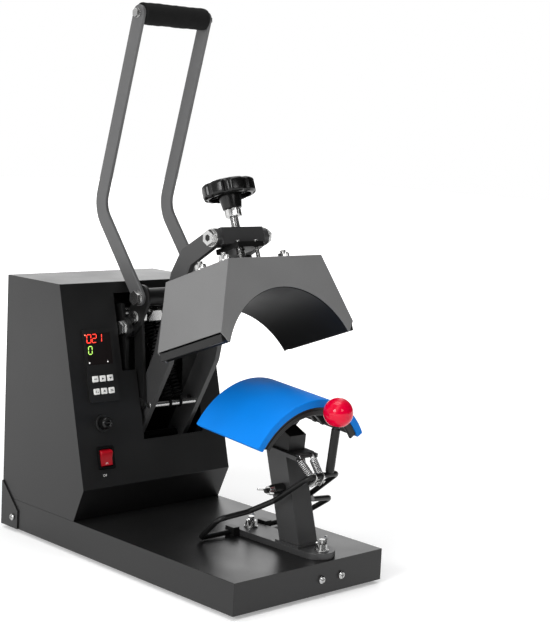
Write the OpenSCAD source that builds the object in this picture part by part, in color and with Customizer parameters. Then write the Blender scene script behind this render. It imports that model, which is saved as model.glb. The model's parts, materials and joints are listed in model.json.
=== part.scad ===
// Cap heat press: a curved heated platen on a gooseneck arm closes on a curved lower platen.
// +X is to the right, +Y to the rear and +Z up. The origin is on the floor, under the middle of the
// whole outline. Distances in X are written from the middle of the base tray.
// Side outlines are lists of [y, z] points, drawn with the arm and the handle fully raised.

/* [Base and housing] */
// Width of the base and the housing
base_w = 250; // [240:1:280]
// Length of the base, front to rear
base_l = 480; // [470:1:500]
// Height of the base tray
tray_h = 40; // [36:1:44]
// Height of the rubber feet
feet_h = 5; // [4:1:6]
// Thickness of the sheet metal
sheet = 2; // [1.5:0.5:2]
// Height of the housing top above the floor
housing_top = 351; // [349:1:360]
// Width of the lower part of the arm slot
slot_w = 104; // [102:1:110]
// Width of the upper part of the arm slot
notch_w = 150; // [149:1:154]

/* [Press] */
// Distance of the press axis to the right of the middle
press_x = 35; // [33:1:36]
// Angle that the arm turns between open and closed
close_angle = 25; // [23:0.5:25]
// Angle that the open heater leans back
open_tilt = 20; // [20:0.5:21]
// Inner radius of the heated arch
arch_r = 112; // [111:0.5:113]
// Outer radius of the lower pad
pad_r = 105; // [104:0.5:107]
// Thickness of the lower pad
pad_t = 10; // [8:0.5:11]
// Depth of the heater, front to rear
heater_d = 126; // [120:1:126]
// Depth of the lower platen, front to rear
platen_d = 116; // [100:1:118]
// Diameter of the pressure knob
knob_d = 70; // [60:1:72]

/* [Handle and lever] */
// Diameter of the foam grip
grip_d = 30; // [26:1:32]
// Width of the handle bars
bar_w = 22; // [20:1:23]
// Diameter of the lever ball
ball_d = 37; // [30:1:38]
// Diameter of the wire of the cap bail
bail_d = 7; // [6:0.5:7]

/* [Controls] */
// Width of the temperature controller
controller_w = 48; // [46:1:50]
// Height of the temperature controller
controller_h = 96; // [94:1:98]
// Travel of a key
key_travel = 0.8; // [0.5:0.1:1]

/* [Hidden] */
$fn = 48;

// Half the width of the heater's shroud, and the size of the base's side screws
shroud_half = 114;
side_screw_d = 9;
// Moves everything sideways, so that the whole outline is centred on the origin
outline_x = (base_w / 2 + sheet + 0.32 * side_screw_d - press_x - shroud_half) / 2;

// Heights and the side outline of the housing
floor_z = feet_h;
deck_z = feet_h + tray_h;
front_y = -base_l / 2;
rear_y = base_l / 2;
top_y = 122;
knee = [56, 90];
chin_y = 76;
slope_run = top_y - knee[0];
slope_rise = housing_top - knee[1];
slope_deg = atan2(slope_run, slope_rise);
housing_side = [[rear_y, deck_z], [rear_y, housing_top], [top_y, housing_top], knee, [chin_y, deck_z]];

// Distances down the sloping front, from its top edge
notch_top_s = 15;
notch_low_s = 120;
slot_low_s = 214;

// Pivots and the middle of the arch, as [y, z]
arm_pivot = [114, 134];
handle_pivot = [107, 290];
link_top = [97, 305];
link_low = [85, 190];
crossbar_at = [-42, 424];
crossbar_up = 193.4;
arch_open = crossbar_at - crossbar_up * [sin(open_tilt), cos(open_tilt)];
arch_closed = turned(arch_open, arm_pivot, close_angle);
pivot_d = 16;
frame_rods = [[190, 70], [180, 304]];
run_fit = 0.1;

// Sideways layers of the moving plates, each [inner, outer] from the press axis
arm_layer = [36, 44];
link_layer = [45, 49.5];
crank_layer = [49.5, 54];
bar_layer = [54, 59];
frame_layer = [60, 66];

// Handle outline, and the radius that its bars are bent to
grip_at = [106, 706];
handle_bend = [178.5, 446.5];
bar_bolt = [85.5, 333];
bend_r = 40;

// Heights in the heater's frame, above the middle of the arch
bracket_up = 152;
bracket_t = 5;
knob_up = crossbar_up + 63;

// Post and lower platen mount
plate_r = pad_r - pad_t;
plate_t = 4;
hub_half = 14;
hub_front = -33;
web_front = -13;
web_rear = 7;
post_w = 32;
post_deep = 34;
post_lean = 16;
post_foot = [-180.5, 53];
stem_low = 33;
head_front = -44;
head_t = 5;

// Foot bar
foot_w = 44;
foot_t = 8;
foot_front = -236;
foot_rear = -76;
front_stud_y = -221;
rear_stud_y = -92;

// Bail: hinge place, slope, half of its outline as [sideways, forward] points, and the whole outline
bail_hinge = [-87, 50];
bail_slope = 36.5;
bail_half = [[23, 0], [82, 0], [98, 64], [55, 73], [31, 97], [25, 163]];
bail_path = concat([for (p = bail_half) [-p[0], -p[1]]],
                   [for (i = [len(bail_half) - 1 : -1 : 0]) [bail_half[i][0], -bail_half[i][1]]]);
bail_reach = bail_half[len(bail_half) - 1][1];
bail_front = [bail_hinge[0] - bail_reach * cos(bail_slope), bail_hinge[1] + bail_reach * sin(bail_slope)];
bail_bend = 9;
wire_overlap = 0.4;
lever_side = 10;
lever_len = 64;
lever_d = 11;
lever_lean = 7;

// Springs
return_top = [134, 306];
return_low = [73, 188];
return_side = 9;
bail_spring_top = in_platen(head_front - 6, stem_low - head_t / 2);
bail_spring_low = [-213, 138];
bail_pin_d = 4;
return_pin_d = 8;
spring_bracket_out = 14;

// Controls, as [x, distance down the slope]
controller_at = [-76.5, 110];
key_cols = [-89, -77, -65];
key_rows = [127.5, 144];
fuse_at = [-84, 186];
switch_at = [-84, 231];
rocker_tilt = 12;

// A point turned about c, and a point of the closed platen's frame, both as [y, z]
function turned(p, c, a) = c + [(p - c) * [cos(a), -sin(a)], (p - c) * [sin(a), cos(a)]];

function in_platen(y, z) = turned(arch_closed + [y, z], arch_closed, close_angle - open_tilt);

module press() translate([press_x, 0, 0]) children();

module at_yz(p) translate([0, p[0], p[1]]) children();

module turn_about(p, a) at_yz(p) rotate([a, 0, 0]) at_yz(-p) children();

// A frame whose origin is the middle of the arch, with the open heater's tilt
module heater_frame() press() at_yz(arch_open) rotate([-open_tilt, 0, 0]) children();

// The same frame after the arm has closed: the lower platen stands in it
module platen_frame() turn_about(arm_pivot, close_angle) heater_frame() children();

// A frame on the sloping front: X to the right, Y up the slope and Z outward
module on_slope(x, s) {
    translate([x, top_y - s * sin(slope_deg), housing_top - s * cos(slope_deg)])
        rotate([90 - slope_deg, 0, 0])
            children();
}

// Extrudes a side outline along X, from x0 by t
module side_slab(x0, t) translate([x0, 0, 0]) rotate([90, 0, 90]) linear_extrude(t) children();

module both_sides(layer) {
    side_slab(layer[0], layer[1] - layer[0]) children();
    side_slab(-layer[1], layer[1] - layer[0]) children();
}

// A round bar along X through p, between x0 and x1
module cross_rod(p, d, x0, x1) at_yz(p) translate([x0, 0, 0]) rotate([0, 90, 0]) cylinder(d = d, h = x1 - x0);

// A line of width w with round ends, through the points
module stroke(points, w) {
    for (i = [0 : len(points) - 2])
        hull()
            for (p = [points[i], points[i + 1]])
                translate(p)
                    circle(d = w, $fn = 40);
}

// A straight slot or bar with round ends, along X or Y, from p to q
module slot_shape(p, q, w) {
    across = p[0] == q[0] ? [w / 2, 0] : [0, w / 2];
    translate(p - across)
        square(q - p + 2 * across);
    for (end = [p, q])
        translate(end)
            circle(d = w);
}

function toward(a) = [cos(a), sin(a)];

function heading(v) = atan2(v[1], v[0]);

function arc_points(c, r, from, to, n) = [for (i = [0 : n]) c + r * toward(from + (to - from) * i / n)];

// The outline of a flat bar of width w through three points, with round ends and its bend at radius r
function bent_bar(p, w, r) =
    let (a = heading(p[1] - p[0]), turn = turn_at(p, 1), side = sign(turn), b = a + turn,
         c = p[1] - r * tan(abs(turn) / 2) * toward(a) + side * r * toward(a + 90),
         start = a - side * 90)
    concat(arc_points(c, r - side * w / 2, start, start + turn, 8),
           arc_points(p[2], w / 2, b + 90, b - 90, 12),
           arc_points(c, r + side * w / 2, start + turn, start, 8),
           arc_points(p[0], w / 2, a - 90, a - 270, 12));

module round_rect(w, h, r) {
    square([w - 2 * r, h], center = true);
    square([w, h - 2 * r], center = true);
    for (x = [-1, 1], y = [-1, 1])
        translate([x * (w / 2 - r), y * (h / 2 - r)])
            circle(r);
}

module hexagon(flats) circle(d = flats / cos(30), $fn = 6);

// A hexagon bolt head or nut along +Z with a washer under it
module hex_part(flats, h, washer_d) {
    cylinder(d = washer_d, h = 1.5);
    translate([0, 0, 1.5])
        linear_extrude(h)
            hexagon(flats);
}

module along_x(sign) rotate([0, sign * 90, 0]) children();

function unit(v) = v / norm(v);

function turn_at(p, i) = let (a = unit(p[i] - p[i - 1]), b = unit(p[i + 1] - p[i]))
    atan2(a[0] * b[1] - a[1] * b[0], a * b);

function trim_at(p, i, r) = i == 0 || i == len(p) - 1 ? 0 : r * tan(abs(turn_at(p, i)) / 2);

// A wire bent in the XY plane, laid from the point p[i] on along +X: straight rods and round bends.
// A bend is a hair thicker, and the rods run a little way into it, so that they join as one solid
module bent_wire(p, d, r, i = 0) {
    straight = norm(p[i + 1] - p[i]) - trim_at(p, i, r) - trim_at(p, i + 1, r);
    last = i == len(p) - 2;
    back = i == 0 ? 0 : wire_overlap;
    translate([-back, 0, 0])
        rotate([0, 90, 0])
            cylinder(d = d, h = straight + back + (last ? 0 : wire_overlap));
    if (!last) {
        turn = turn_at(p, i + 1);
        side = sign(turn) * r;
        translate([straight, side, 0]) {
            rotate(turn > 0 ? -90 : 90 + turn)
                rotate_extrude(angle = abs(turn))
                    translate([r, 0])
                        circle(d = d + 0.1);
            rotate(turn)
                translate([0, -side, 0])
                    bent_wire(p, d, r, i + 1);
        }
    }
}

// One end of a tension spring's wire, as [x, y, z] along +Z: the hook's loop round a pin along Y
// at the origin, then a quarter turn that rises into the coil at [0, coil_r, start]
function hook_path(hook_r, slack, coil_r, start) = [
    for (i = [0 : 15])
        let (a = 230 * (i / 16 - 1))
            [hook_r * cos(a), 0, slack + hook_r * sin(a)],
    for (i = [0 : 3])
        let (t = i / 4, a = 90 * t * t, r = hook_r + (coil_r - hook_r) * t)
            [r * cos(a), r * sin(a), slack + (start - slack) * sin(90 * t)]];

// The whole wire: a hook, the coil with eight points a turn, and the same hook turned over
function spring_path(length, pin_d, turns, coil_r, wire_d) =
    let (hook_r = max(0.8 * coil_r, (pin_d + wire_d) / 2 + 0.3),
         slack = hook_r - (wire_d + pin_d) / 2 - 0.1,
         start = slack + hook_r + wire_d + 0.5,
         n = 8 * turns - 4,
         hook = hook_path(hook_r, slack, coil_r, start))
    concat(hook,
           [for (i = [0 : n])
               let (a = 90 + 45 * i)
                   [coil_r * cos(a), coil_r * sin(a), start + (length - 2 * start) * i / n]],
           [for (i = [len(hook) - 1 : -1 : 0])
               [hook[i][0], -hook[i][1], length - hook[i][2]]]);

// The way the wire runs at a point, and a side direction carried along it without twisting
function along(p, i) = unit(p[min(i + 1, len(p) - 1)] - p[max(i - 1, 0)]);

function square_to(v, t) = unit(v - (v * t) * t);

// A six-sided tube along the path p, as one closed surface
module wire_tube(p, wire_d) {
    n = len(p);
    sides = [for (i = 0, u = square_to([1, 0, 0], along(p, 0)); i < n;
                  i = i + 1, u = square_to(u, along(p, min(i, n - 1)))) u];
    rings = [for (i = [0 : n - 1], k = [0 : 5])
                p[i] + wire_d / 2 * (cos(60 * k) * sides[i] + sin(60 * k) * cross(along(p, i), sides[i]))];
    walls = [for (i = [0 : n - 2], k = [0 : 5]) let (a = i * 6 + k, b = i * 6 + (k + 1) % 6)
        each [[a, b + 6, b], [a, a + 6, b + 6]]];
    near = [for (k = [0 : 5]) k];
    far = [for (k = [5 : -1 : 0]) (n - 1) * 6 + k];
    polyhedron(points = rings, faces = concat(walls, [near, far]));
}

// Least distance between the wire's surfaces where they are more than half a curl apart
function least_gap(p, wire_d) =
    min([for (i = [0 : len(p) - 6], j = [i + 5 : min(i + 40, len(p) - 1)]) norm(p[i] - p[j])]) - wire_d;

// A tension spring between two pins along X, as one unbroken wire with a hook round each pin
module tension_spring(low, high, pin_d, turns, coil_r, wire_d) {
    run = high - low;
    path = spring_path(norm(run), pin_d, turns, coil_r, wire_d);
    echo(least_gap = least_gap(path, wire_d));
    translate(low)
        rotate([0, acos(run[2] / norm(run)), atan2(run[1], run[0])])
            wire_tube(path, wire_d);
}

module wing_nut(bore) {
    difference() {
        union() {
            cylinder(d1 = bore + 8, d2 = bore + 5, h = 7, $fn = 32);
            for (side = [0, 180])
                rotate(side)
                    rotate([90, 0, 0])
                        translate([0, 0, -1.25])
                            linear_extrude(2.5)
                                stroke([[bore / 2 + 3, 4], [bore / 2 + 8, 11]], 6.5);
        }
        translate([0, 0, -1])
            cylinder(d = bore + run_fit, h = 16);
    }
}

module housing_outline() polygon(housing_side);

module housing_room() {
    offset(delta = -sheet)
        polygon([[rear_y + 50, 0], [rear_y + 50, housing_top], [top_y, housing_top], knee,
                 [chin_y, deck_z], [chin_y, 0]]);
}

module front_cuts() {
    on_slope(press_x, 0)
        translate([0, 0, -20])
            linear_extrude(40) {
                translate([-notch_w / 2, -notch_low_s])
                    square([notch_w, notch_low_s - notch_top_s]);
                translate([-slot_w / 2, -slot_low_s])
                    square([slot_w, slot_low_s - notch_low_s + 1]);
            }
    on_slope(controller_at[0], controller_at[1])
        translate([0, 0, -20])
            linear_extrude(40)
                square([controller_w - 4, controller_h - 6], center = true);
    on_slope(fuse_at[0], fuse_at[1])
        translate([0, 0, -20])
            cylinder(d = 16, h = 40);
    on_slope(switch_at[0], switch_at[1])
        translate([0, 0, -20])
            linear_extrude(40)
                square([22, 26], center = true);
}

module base_tray() {
    color("dimgray")
        difference() {
            translate([-base_w / 2, front_y, floor_z])
                cube([base_w, base_l, tray_h]);
            translate([-base_w / 2 + sheet, front_y + sheet, floor_z - 1])
                cube([base_w - 2 * sheet, base_l - 2 * sheet, tray_h - sheet + 1]);
            for (y = [front_stud_y, rear_stud_y])
                translate([press_x, y, deck_z - 10])
                    cylinder(d = 8, h = 20);
        }
}

module bottom_plate() {
    color("gray")
        difference() {
            translate([-base_w / 2 + sheet, front_y + sheet, floor_z])
                cube([base_w - 2 * sheet, base_l - 2 * sheet, sheet]);
            for (x = [-60 : 20 : 60])
                translate([x, 60, floor_z - 1])
                    linear_extrude(sheet + 2)
                        slot_shape([0, 0], [0, 40], 5);
        }
}

module rubber_feet() {
    color("black")
        for (x = [-1, 1], y = [-1, 1])
            translate([x * (base_w / 2 - 34), y * (base_l / 2 - 36), 0])
                cylinder(d1 = 20, d2 = 24, h = feet_h);
}

module housing_shell() {
    color("dimgray")
        difference() {
            side_slab(-base_w / 2, base_w)
                housing_outline();
            side_slab(-base_w / 2 + sheet, base_w - 2 * sheet)
                housing_room();
            front_cuts();
        }
}

// The rear wall, with louvres and a tab down each side of the base
module back_cover() {
    tab = [[rear_y + sheet, floor_z], [rear_y + sheet, 66], [rear_y, 66], [203, 30], [203, floor_z]];
    color("dimgray")
        difference() {
            union() {
                translate([-base_w / 2, rear_y, floor_z])
                    cube([base_w, sheet, housing_top - floor_z]);
                for (x = [-base_w / 2 - sheet, base_w / 2])
                    side_slab(x, sheet)
                        polygon(tab);
            }
            for (i = [0 : 7])
                translate([30, rear_y - 1, 190 + i * 14])
                    rotate([-90, 0, 0])
                        linear_extrude(sheet + 2)
                            slot_shape([-40, 0], [40, 0], 5);
            translate([-75, rear_y - 1, 100])
                rotate([-90, 0, 0])
                    linear_extrude(sheet + 2)
                        square([27.6, 20.6], center = true);
        }
}

module case_screws() {
    color("silver") {
        for (x = [press_x - 17, press_x + 17])
            translate([x, front_y, 24])
                rotate([90, 0, 0])
                    pan_head(10);
        for (side = [-1, 1])
            translate([side * (base_w / 2 + sheet), 214, 20])
                along_x(side)
                    pan_head(side_screw_d);
        for (x = [-110, 0, 110], z = [62, 335])
            translate([x, rear_y + sheet, z])
                rotate([-90, 0, 0])
                    pan_head(8);
    }
}

// A pan head with a cross recess, along +Z
module pan_head(d) {
    difference() {
        union() {
            cylinder(d = d, h = d * 0.2);
            translate([0, 0, d * 0.2])
                cylinder(d1 = d, d2 = d * 0.7, h = d * 0.12, $fn = 32);
        }
        for (a = [0, 90])
            rotate(a)
                translate([-d * 0.3, -d * 0.06, d * 0.17])
                    cube([d * 0.6, d * 0.12, d]);
    }
}

module frame_plate_outline() {
    difference() {
        union() {
            polygon([[88, deck_z], [86, 175], [99, 242], [99, 272], [112, 322], [186, 322],
                     [206, 200], [206, deck_z]]);
            translate(handle_pivot)
                circle(14);
        }
        polygon([[130, 190], [130, 270], [172, 270], [182, 190]]);
    }
}

module frame_plates() {
    color("dimgray")
        press()
            difference() {
                both_sides(frame_layer)
                    frame_plate_outline();
                cross_rod(arm_pivot, pivot_d, -80, 80);
                cross_rod(handle_pivot, 12, -80, 80);
                cross_rod(return_top, return_pin_d, -80, 80);
                for (p = frame_rods)
                    cross_rod(p, 12, -80, 80);
            }
}

// The rods between the frame plates, and the bracket in the middle of the springs' rod
module frame_tie_rods() {
    color("gray")
        press() {
            translate([0, return_top[0] - spring_bracket_out, return_top[1]])
                rotate([90, 0, 0])
                    linear_extrude(3)
                        polygon([[-14, -11], [14, -11], [7, 3], [-7, 3]]);
            translate([-3, return_top[0] - spring_bracket_out - 1, return_top[1] - 3])
                cube([6, spring_bracket_out, 6]);
            cross_rod(return_top, return_pin_d, -frame_layer[1], frame_layer[1]);
            for (p = frame_rods)
                cross_rod(p, 12, -frame_layer[1], frame_layer[1]);
        }
}

module pivot_shaft() {
    color("silver")
        press() {
            cross_rod(arm_pivot, pivot_d, -70, 70);
            cross_rod(arm_pivot, 22, 45, frame_layer[0]);
            cross_rod(arm_pivot, 22, -frame_layer[0], -45);
        }
}

module handle_pivot_bolts() {
    color("silver")
        press()
            for (side = [-1, 1])
                at_yz(handle_pivot) {
                    translate([side * crank_layer[0], 0, 0])
                        along_x(side)
                            cylinder(d = 12, h = frame_layer[1] - crank_layer[0]);
                    translate([side * (crank_layer[1] + 0.2), 0, 0])
                        along_x(side)
                            cylinder(d = 16, h = frame_layer[0] - crank_layer[1] - 0.2);
                    translate([side * frame_layer[1], 0, 0])
                        along_x(side)
                            hex_part(17, 6, 22);
                }
}

module foot_bar() {
    color("dimgray")
        press()
            difference() {
                translate([0, 0, deck_z])
                    linear_extrude(foot_t)
                        slot_shape([0, foot_front + foot_w / 2], [0, foot_rear - foot_w / 2], foot_w);
                for (y = [front_stud_y, rear_stud_y])
                    translate([0, y, deck_z - 1])
                        cylinder(d = 8, h = foot_t + 2);
            }
}

module foot_studs() {
    color("silver")
        press()
            for (y = [front_stud_y, rear_stud_y])
                translate([0, y, deck_z - sheet]) {
                    cylinder(d = 8, h = sheet + foot_t + 14);
                    translate([0, 0, -5])
                        linear_extrude(5)
                            hexagon(13);
                    translate([0, 0, sheet + foot_t])
                        difference() {
                            cylinder(d = 18, h = 1.5);
                            translate([0, 0, -1])
                                cylinder(d = 8, h = 4);
                        }
                }
}

module hinge_lugs() {
    color("black")
        press()
            for (side = [-1, 1])
                difference() {
                    translate([side * 28 - 5, bail_hinge[0] - 8, deck_z])
                        cube([10, 16, 12]);
                    cross_rod(bail_hinge, bail_d + run_fit, side * 28 - 6, side * 28 + 6);
                }
}

// The plate on top of the post, with two ears at its front that hold the springs' pin
module post_head() {
    translate([-20, head_front, stem_low - head_t])
        cube([40, 58, head_t]);
    for (x = [-20, 15])
        translate([x, head_front - 9, stem_low - head_t])
            cube([3, 10, head_t]);
    translate([-18.5, head_front - 6, stem_low - head_t / 2])
        rotate([0, 90, 0])
            cylinder(d = bail_pin_d, h = 35);
}

module post() {
    color("dimgray")
        difference() {
            union() {
                press()
                    translate([0, post_foot[0], post_foot[1]])
                        rotate([-post_lean, 0, 0])
                            translate([-post_w / 2, -post_deep / 2, -20])
                                cube([post_w, post_deep, 160]);
                press()
                    translate([-21, post_foot[0] - 21, deck_z + foot_t])
                        cube([42, 42, 3]);
                platen_frame()
                    post_head();
            }
            press()
                translate([-60, -300, -1])
                    cube([120, 300, deck_z + foot_t + 1]);
            platen_frame()
                translate([-60, -80, stem_low])
                    cube([120, 160, 60]);
        }
}

module post_clamp_boss() {
    color("black")
        press()
            translate([-post_w / 2 - 18, -164, 122])
                along_x(1) {
                    cylinder(d = 13, h = 18);
                    translate([0, 0, -12])
                        cylinder(d = 6, h = 12);
                }
}

module post_wing_nut() {
    color("silver")
        press()
            translate([-post_w / 2 - 18.3, -164, 122])
                along_x(-1)
                    rotate(90)
                        wing_nut(6);
}

module front_wing_nut() {
    color("silver")
        press()
            translate([0, front_stud_y, deck_z + foot_t + 1.7])
                rotate(20)
                    wing_nut(8);
}

module rear_wing_nut() {
    color("silver")
        press()
            translate([0, rear_stud_y, deck_z + foot_t + 1.7])
                rotate(35)
                    wing_nut(8);
}

// A curved slab round the arch's axis, between two radii and out to a half angle
module curved_slab(inner, outer, half, depth) {
    rotate([90, 0, 0])
        translate([0, 0, -depth / 2])
            linear_extrude(depth)
                difference() {
                    intersection() {
                        circle(outer, $fn = 120);
                        polygon([[0, 0], [400 * sin(-half), 400 * cos(half)], [0, 500],
                                 [400 * sin(half), 400 * cos(half)]]);
                    }
                    circle(inner, $fn = 120);
                }
}

module platen_pad() {
    color("royalblue")
        platen_frame()
            curved_slab(plate_r, pad_r, 60, platen_d);
}

module platen_plate() {
    color("black")
        platen_frame()
            curved_slab(plate_r - plate_t, plate_r, 57, platen_d - 3);
}

// The front outline of a rib of the saddle: it flares from the web and follows the plate out
module saddle_rib() {
    rib_r = plate_r - plate_t;
    intersection() {
        circle(rib_r, $fn = 120);
        union() {
            polygon([[-hub_half, 44], [hub_half, 44], [hub_half, 58], [24, 68], [46, 75], [46, 100],
                     [-46, 100], [-46, 75], [-24, 68], [-hub_half, 58]]);
            difference() {
                polygon([[0, 0], [-100, 84], [-100, 110], [100, 110], [100, 84]]);
                circle(rib_r - 8, $fn = 120);
            }
        }
    }
}

// The cast saddle: a hub on the post, the web behind it and two ribs under the plate
module platen_bracket() {
    color("black")
        platen_frame() {
            for (y = [web_front, web_rear - 6])
                translate([0, y + 6, 0])
                    rotate([90, 0, 0])
                        linear_extrude(6)
                            saddle_rib();
            side_slab(-hub_half, 2 * hub_half)
                polygon([[hub_front, stem_low], [web_rear, stem_low], [web_rear, 84], [web_front, 84],
                         [web_front, 60], [hub_front, 53]]);
        }
}

module controller_case() {
    color("#1c1c1e")
        on_slope(controller_at[0], controller_at[1]) {
            difference() {
                union() {
                    linear_extrude(4)
                        round_rect(controller_w, controller_h, 2);
                    translate([0, 0, -60])
                        linear_extrude(60)
                            square([controller_w - 4.4, controller_h - 6.4], center = true);
                }
                translate([0, 22, 2.5])
                    linear_extrude(4)
                        square([40, 42], center = true);
                for (i = [0 : 5])
                    key_place(i)
                        translate([0, 0, 0.4])
                            linear_extrude(8)
                                round_rect(9.6, 8.6, 1.2);
            }
        }
}

module display_window() {
    color("#3a1010")
        on_slope(controller_at[0], controller_at[1])
            translate([0, 22, 2.5])
                linear_extrude(1.2)
                    square([40, 42], center = true);
}

// Places a key in the controller's own frame: three columns, two rows
module key_place(i) {
    col = key_cols[i % 3];
    row = key_rows[floor(i / 3)];
    translate([col - controller_at[0], controller_at[1] - row, 0])
        children();
}

module key(i) {
    color("white")
        on_slope(controller_at[0], controller_at[1])
            key_place(i)
                translate([0, 0, 0.4 + key_travel + 0.2])
                    linear_extrude(4.2)
                        round_rect(9, 8, 1);
}

module fuse_holder() {
    color("#1c1c1e")
        on_slope(fuse_at[0], fuse_at[1]) {
            difference() {
                union() {
                    cylinder(d = 22, h = 4);
                    translate([0, 0, -28])
                        cylinder(d = 15.6, h = 28);
                }
                translate([0, 0, 1])
                    cylinder(d = 16 + run_fit, h = 5);
            }
        }
}

module fuse_cap() {
    color("black")
        on_slope(fuse_at[0], fuse_at[1])
            translate([0, 0, 1.2])
                difference() {
                    union() {
                        cylinder(d = 16, h = 12);
                        translate([0, 0, 12])
                            cylinder(d1 = 16, d2 = 13, h = 2, $fn = 32);
                    }
                    translate([-5, -0.75, 12.5])
                        cube([10, 1.5, 3]);
                }
}

module switch_bezel() {
    color("black")
        on_slope(switch_at[0], switch_at[1])
            difference() {
                union() {
                    linear_extrude(2)
                        round_rect(26, 30, 1.5);
                    translate([0, 0, -22])
                        linear_extrude(22)
                            square([21.6, 25.6], center = true);
                }
                translate([0, 0, -12])
                    linear_extrude(20)
                        square([19.6, 23.6], center = true);
                translate([-14, 0, -4])
                    rotate([0, 90, 0])
                        cylinder(d = 4 + run_fit, h = 28);
            }
}

// The rocker: a see-saw block on a cross pin, rounded about it, with its lower end pressed
module switch_rocker() {
    color("red")
        on_slope(switch_at[0], switch_at[1])
            translate([0, 0, -4]) {
                rotate([rocker_tilt, 0, 0])
                    rotate([90, 0, 90])
                        translate([0, 0, -9.4])
                            linear_extrude(18.8)
                                intersection() {
                                    circle(11.5);
                                    polygon([[-12, -4], [12, -4], [12, 8.2], [0, 6.2], [-12, 8.2]]);
                                }
                rotate([0, 90, 0])
                    cylinder(d = 4, h = 21.4, center = true);
            }
}

module power_inlet() {
    color("black")
        translate([-75, rear_y + sheet, 100])
            rotate([-90, 0, 0])
                difference() {
                    union() {
                        translate([0, 0, -24])
                            linear_extrude(24)
                                square([27.2, 20.2], center = true);
                        linear_extrude(3)
                            round_rect(48, 24, 4);
                    }
                    translate([0, 0, -16])
                        linear_extrude(20)
                            square([22, 15], center = true);
                }
}

module solid_state_relay() {
    color("white")
        translate([-100, 150, deck_z]) {
            cube([45, 62, 6]);
            translate([2, 4, 6])
                cube([41, 54, 20]);
        }
}

module return_springs() {
    color("silver")
        press()
            for (x = [-return_side, return_side])
                tension_spring([x, return_low[0], return_low[1]], [x, return_top[0], return_top[1]],
                               return_pin_d, 24, 6, 2.4);
}

module arm_outline() {
    neck = [[-42, 424, 12], [8, 394, 13], [23, 366, 15], [50, 255, 17], [arm_pivot[0], arm_pivot[1], 15]];
    for (i = [0 : len(neck) - 2])
        hull()
            for (c = [neck[i], neck[i + 1]])
                translate([c[0], c[1]])
                    circle(c[2]);
}

module arm_plate(x0) {
    press()
        difference() {
            side_slab(x0, arm_layer[1] - arm_layer[0])
                arm_outline();
            cross_rod(arm_pivot, pivot_d + run_fit, -80, 80);
            cross_rod(crossbar_at, 12, -80, 80);
            cross_rod(link_low, 10, -80, 80);
            cross_rod(return_low, return_pin_d, -80, 80);
        }
}

module arm_plate_left() {
    color("dimgray")
        arm_plate(-arm_layer[1]);
}

module arm_plate_right() {
    color("dimgray")
        arm_plate(arm_layer[0]);
}

module arm_crossbar() {
    color("dimgray")
        heater_frame()
            difference() {
                translate([-arm_layer[0], -11, crossbar_up - 11])
                    cube([2 * arm_layer[0], 22, 22]);
                translate([0, 0, crossbar_up - 12])
                    cylinder(d = 12 + run_fit, h = 24);
                for (side = [-1, 1])
                    translate([side * 24, 0, crossbar_up])
                        along_x(side)
                            cylinder(d = 12, h = 20);
            }
}

// The bolts that hold the crossbar, and the rod that the return springs pull on
module arm_bolts() {
    color("silver")
        press() {
            cross_rod(return_low, return_pin_d, -arm_layer[1], arm_layer[1]);
            for (side = [-1, 1])
                at_yz(crossbar_at) {
                    translate([side * 24, 0, 0])
                        along_x(side)
                            cylinder(d = 12, h = arm_layer[1] - 24);
                    translate([side * arm_layer[1], 0, 0])
                        along_x(side)
                            hex_part(18, 6, 24);
                }
        }
}

module guide_block() {
    color("#202020")
        heater_frame()
            difference() {
                translate([-22, -22, crossbar_up - 18])
                    cube([44, 44, 7]);
                translate([0, 0, crossbar_up - 19])
                    cylinder(d = 12 + run_fit, h = 9);
                for (x = [-15, 15], y = [-15, 15])
                    translate([x, y, crossbar_up - 19])
                        cylinder(d = 6 + run_fit, h = 9);
            }
}

module shroud_face() {
    difference() {
        polygon([[-80, bracket_up], [80, bracket_up], [shroud_half, 62], [104, 49], [96, 46], [-96, 46],
                 [-104, 49], [-shroud_half, 62]]);
        circle(arch_r + 1, $fn = 120);
    }
}

module shroud_section(inset) {
    polygon([[-80 + inset * 0.6, bracket_up - inset], [80 - inset * 0.6, bracket_up - inset],
             [shroud_half - inset, 62 - inset], [inset - shroud_half, 62 - inset]]);
}

module heater_shroud() {
    wall = 1.5;
    color("#8a8a8c")
        heater_frame() {
            difference() {
                rotate([90, 0, 0])
                    translate([0, 0, -heater_d / 2])
                        linear_extrude(heater_d)
                            shroud_section(0);
                rotate([90, 0, 0])
                    translate([0, 0, -heater_d / 2 + wall])
                        linear_extrude(heater_d - 2 * wall)
                            shroud_section(wall);
                rotate([90, 0, 0])
                    translate([0, 0, -heater_d])
                        linear_extrude(2 * heater_d)
                            circle(arch_r + 1, $fn = 120);
            }
            for (y = [-heater_d / 2 + wall, heater_d / 2])
                translate([0, y, 0])
                    rotate([90, 0, 0])
                        linear_extrude(wall)
                            intersection() {
                                shroud_face();
                                translate([-120, 40])
                                    square([240, 22.5]);
                            }
        }
}

module heater_arch() {
    color("#303032")
        heater_frame()
            curved_slab(arch_r, arch_r + 8, 64, heater_d - 3.4);
}

module heater_insulation() {
    color("ivory")
        heater_frame()
            rotate([90, 0, 0])
                translate([0, 0, -heater_d / 2 + 2])
                    linear_extrude(heater_d - 4)
                        difference() {
                            polygon([[-78, bracket_up - 2], [78, bracket_up - 2], [109, 66], [-109, 66]]);
                            circle(arch_r + 8.2, $fn = 120);
                        }
}

module heater_rails() {
    color("#202020")
        heater_frame()
            for (side = [-1, 1])
                rotate([90, 0, 0])
                    translate([0, 0, -heater_d / 2 + 2])
                        linear_extrude(heater_d - 4)
                            difference() {
                                translate([side * 108 - 5, 50])
                                    square([10, 10]);
                                circle(arch_r + 8.2, $fn = 120);
                            }
}

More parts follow.
